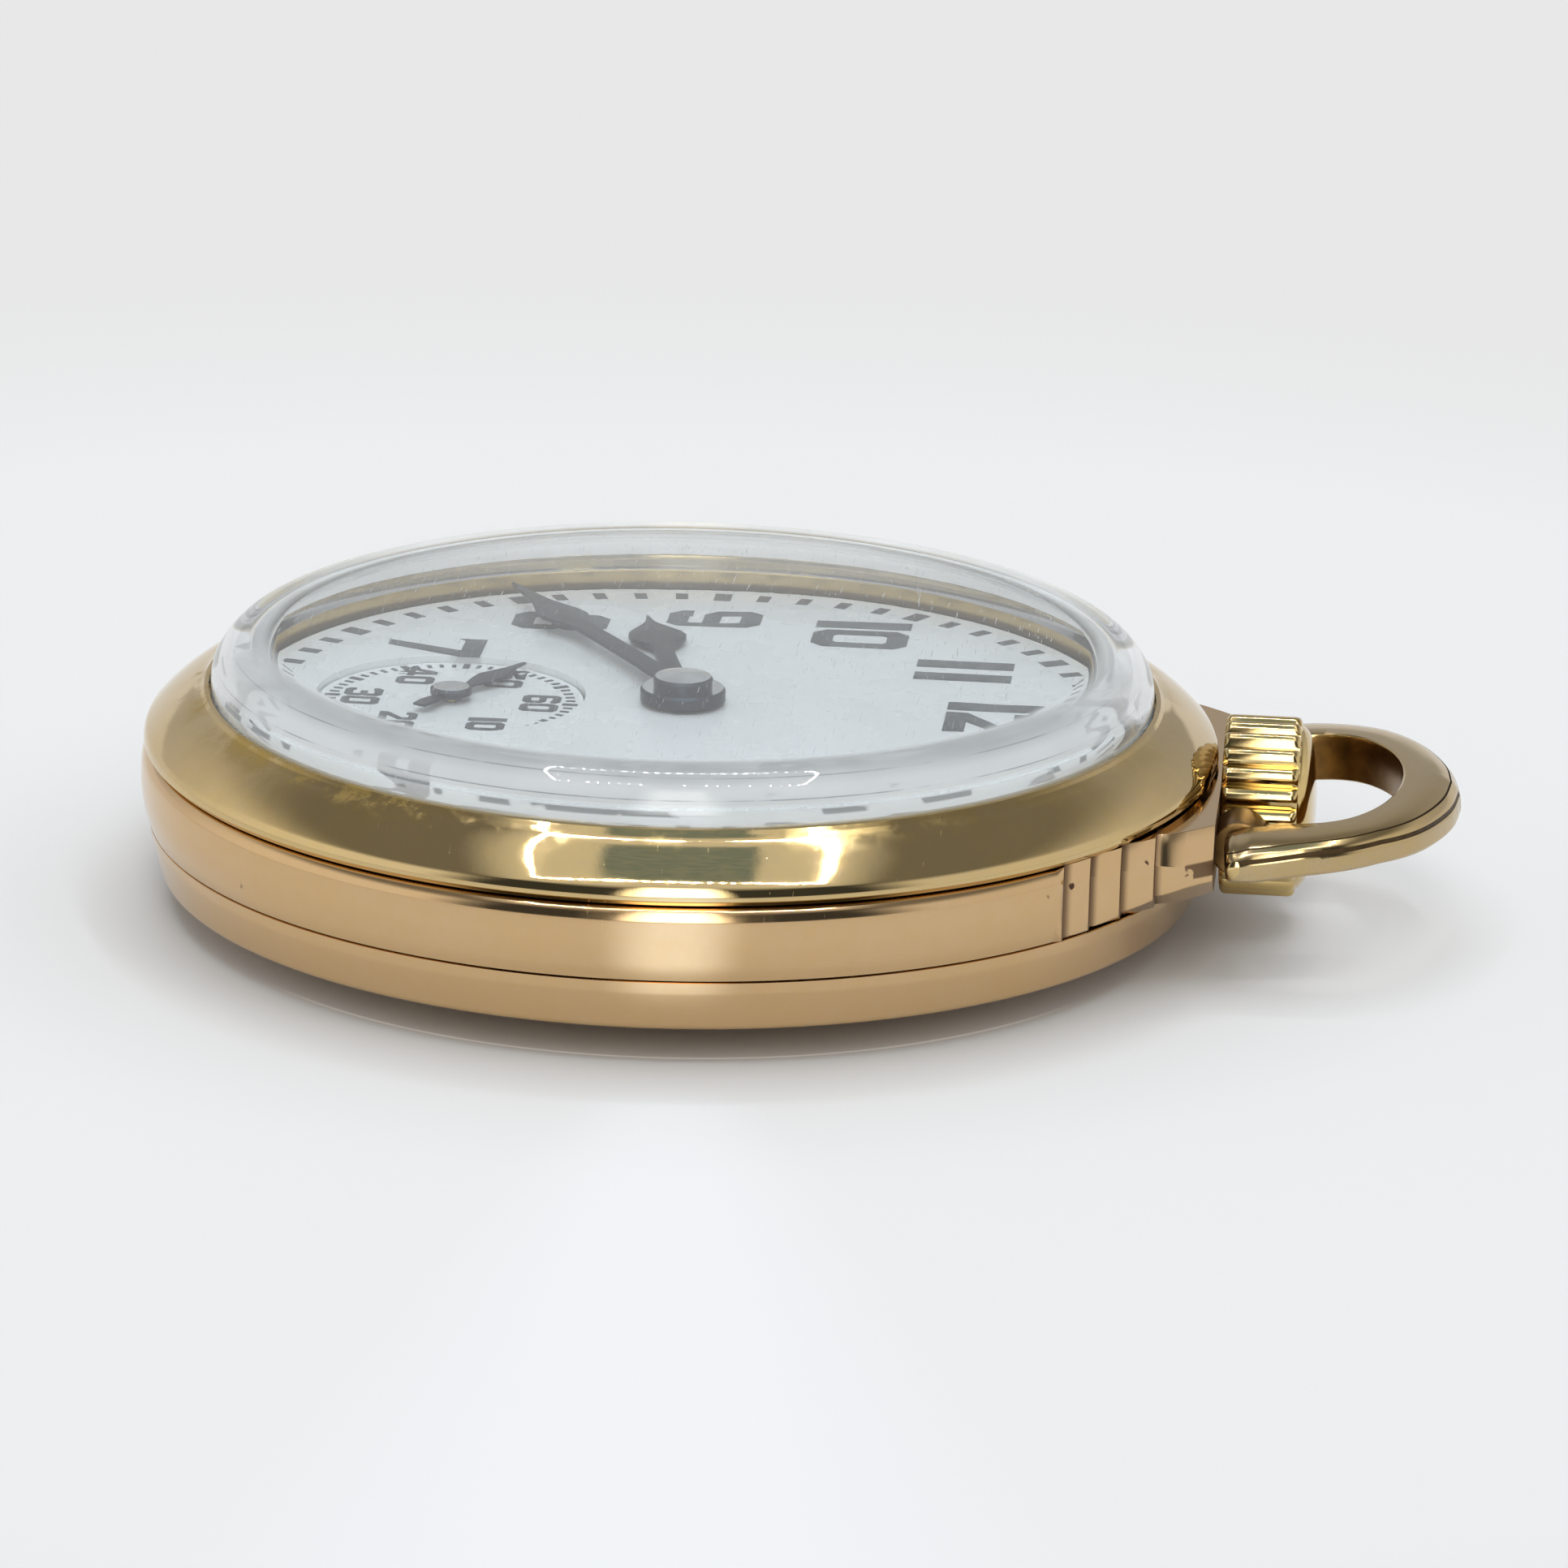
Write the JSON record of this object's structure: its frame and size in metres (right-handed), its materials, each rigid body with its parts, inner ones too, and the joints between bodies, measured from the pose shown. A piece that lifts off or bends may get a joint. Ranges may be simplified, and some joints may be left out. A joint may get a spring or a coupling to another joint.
{
  "type": "open face pocket watch",
  "caption": "Round open face pocket watch with a domed crystal, stepped shoulders, fluted winding crown, swinging bow loop and a geared movement inside.",
  "frame": {"origin": "centre of the case back's flat, on the surface the watch lies on", "axes": "+Z out of the dial, +Y towards 12 o'clock and the crown, +X towards 3 o'clock"},
  "size_m": [0.0504, 0.0617, 0.0133],
  "materials": {
    "crystal": "clear, faint scratches",
    "yellow_gold": "polished gold fill",
    "rose_gold": "polished gold fill, lightly worn",
    "bow_gold": "worn gold fill",
    "crown_gold": "bright gold fill",
    "enamel": "white enamel",
    "blued_steel": "dark blued steel",
    "nickel": "damascened nickel",
    "brass": "fine grained gilt brass",
    "steel": "polished steel"
  },
  "bodies": {
    "case": {"case_middle": "rose_gold", "pendant_sleeve": "steel", "dial": "enamel", "seconds_dial": "enamel", "pillar_plate": "nickel", "barrel_bridge": "nickel", "train_bridge": "nickel", "balance_cock": "nickel", "pallet_bridge": "nickel", "crown_wheel_core": "steel", "click_spring": "steel", "hairspring": "blued_steel", "hairspring_stud": "steel", "setting_lever": "steel", "case_screw_right": "blued_steel", "case_screw_left": "blued_steel", "barrel_bridge_screw_left": "blued_steel", "barrel_bridge_screw_right": "blued_steel", "train_bridge_screw_right": "blued_steel", "train_bridge_screw_left": "blued_steel", "balance_cock_screw": "blued_steel"},
    "crown": {"crown": "crown_gold", "winding_stem": "steel", "winding_pinion": "steel", "clutch_wheel": "steel"},
    "bezel": {"bezel": "yellow_gold", "crystal": "crystal"},
    "case_back": {"case_back": "rose_gold"},
    "bow": {"bow": "bow_gold", "bow_pin_right": "crown_gold", "bow_pin_left": "crown_gold"},
    "crown_wheel": {"crown_wheel": "steel"},
    "ratchet": {"ratchet_wheel": "steel", "ratchet_screw": "blued_steel", "barrel_arbor": "steel"},
    "barrel": {"mainspring_barrel": "brass", "barrel_lid": "brass", "mainspring": "steel"},
    "center_wheel": {"center_wheel": "brass", "cannon_pinion": "steel", "minute_hand": "blued_steel"},
    "third_wheel": {"third_wheel": "brass"},
    "fourth_wheel": {"fourth_wheel": "brass", "seconds_hand": "blued_steel"},
    "escape_wheel": {"escape_wheel": "steel"},
    "pallet_fork": {"pallet_fork": "steel"},
    "balance": {"balance_wheel": "brass"},
    "minute_wheel": {"minute_wheel": "brass"},
    "hour_wheel": {"hour_wheel": "brass", "hour_hand": "blued_steel"},
    "setting_wheel": {"setting_wheel": "steel"},
    "click": {"click": "steel"},
    "regulator": {"regulator": "steel"}
  },
  "joints": [
    {"name": "bow_swing", "type": "hinge", "parent": "case", "child": "bow", "pos_m": [0, 0.0264, 0.0059], "axis": [1, 0, 0], "range_deg": [-80, 70]},
    {"name": "crown_wind", "type": "hinge", "parent": "case", "child": "crown", "pos_m": [0, 0.0253, 0.0059], "axis": [0, 1, 0], "continuous": true},
    {"name": "crown_wheel_turn", "type": "hinge", "parent": "case", "child": "crown_wheel", "pos_m": [0, 0.014, 0.004], "axis": [0, 0, 1], "continuous": true},
    {"name": "ratchet_turn", "type": "hinge", "parent": "case", "child": "ratchet", "pos_m": [0.00681, 0.00549, 0.004], "axis": [0, 0, 1], "continuous": true},
    {"name": "bezel_lift", "type": "slide", "parent": "case", "child": "bezel", "axis": [0, 0, 1], "range_m": [0, 0.012]},
    {"name": "back_lift", "type": "slide", "parent": "case", "child": "case_back", "axis": [0, 0, -1], "range_m": [0, 0.012]},
    {"name": "seconds_turn", "type": "hinge", "parent": "case", "child": "fourth_wheel", "pos_m": [0, -0.0109, 0.004], "axis": [0, 0, -1], "continuous": true},
    {"name": "third_turn", "type": "hinge", "parent": "case", "child": "third_wheel", "pos_m": [0.0056, -0.0054, 0.004], "axis": [0, 0, -1], "continuous": true},
    {"name": "minutes_turn", "type": "hinge", "parent": "case", "child": "center_wheel", "pos_m": [0, 0, 0.004], "axis": [0, 0, -1], "continuous": true},
    {"name": "barrel_turn", "type": "hinge", "parent": "case", "child": "barrel", "pos_m": [0.00681, 0.00549, 0.004], "axis": [0, 0, -1], "continuous": true},
    {"name": "escape_turn", "type": "hinge", "parent": "case", "child": "escape_wheel", "pos_m": [-0.0052, -0.0132, 0.004], "axis": [0, 0, -1], "continuous": true},
    {"name": "minute_wheel_turn", "type": "hinge", "parent": "case", "child": "minute_wheel", "pos_m": [0, 0.0046, 0.0071], "axis": [0, 0, -1], "continuous": true},
    {"name": "hours_turn", "type": "hinge", "parent": "case", "child": "hour_wheel", "pos_m": [0, 0, 0.0075], "axis": [0, 0, -1], "continuous": true},
    {"name": "setting_wheel_turn", "type": "hinge", "parent": "case", "child": "setting_wheel", "pos_m": [0, 0.01023, 0.0071], "axis": [0, 0, -1], "continuous": true},
    {"name": "pallet_rock", "type": "hinge", "parent": "case", "child": "pallet_fork", "pos_m": [-0.00762, -0.01027, 0.0038], "axis": [0, 0, -1], "range_deg": [-5, 5]},
    {"name": "balance_swing", "type": "hinge", "parent": "case", "child": "balance", "pos_m": [-0.0118, -0.0052, 0.0028], "axis": [0, 0, -1], "range_deg": [-270, 270], "stiffness_Nm_per_rad": 0.000006},
    {"name": "click_lift", "type": "hinge", "parent": "case", "child": "click", "pos_m": [-0.0034, 0.0086, 0.00145], "axis": [0, 0, -1], "range_deg": [0, 8], "stiffness_Nm_per_rad": 0.000002},
    {"name": "regulator_turn", "type": "hinge", "parent": "case", "child": "regulator", "pos_m": [-0.0118, -0.0052, 0.0014], "axis": [0, 0, -1], "range_deg": [-18, 18]}
  ],
  "couplings": [
    {"joint": "crown_wheel_turn", "follows": "crown_wind", "ratio": 0.55556},
    {"joint": "ratchet_turn", "follows": "crown_wind", "ratio": -0.3125},
    {"joint": "third_turn", "follows": "seconds_turn", "ratio": -0.13333},
    {"joint": "minutes_turn", "follows": "seconds_turn", "ratio": 0.016667},
    {"joint": "barrel_turn", "follows": "seconds_turn", "ratio": -0.0027778},
    {"joint": "escape_turn", "follows": "seconds_turn", "ratio": -10},
    {"joint": "minute_wheel_turn", "follows": "seconds_turn", "ratio": -0.0055556},
    {"joint": "hours_turn", "follows": "seconds_turn", "ratio": 0.0013889},
    {"joint": "setting_wheel_turn", "follows": "seconds_turn", "ratio": 0.0087719}
  ]
}
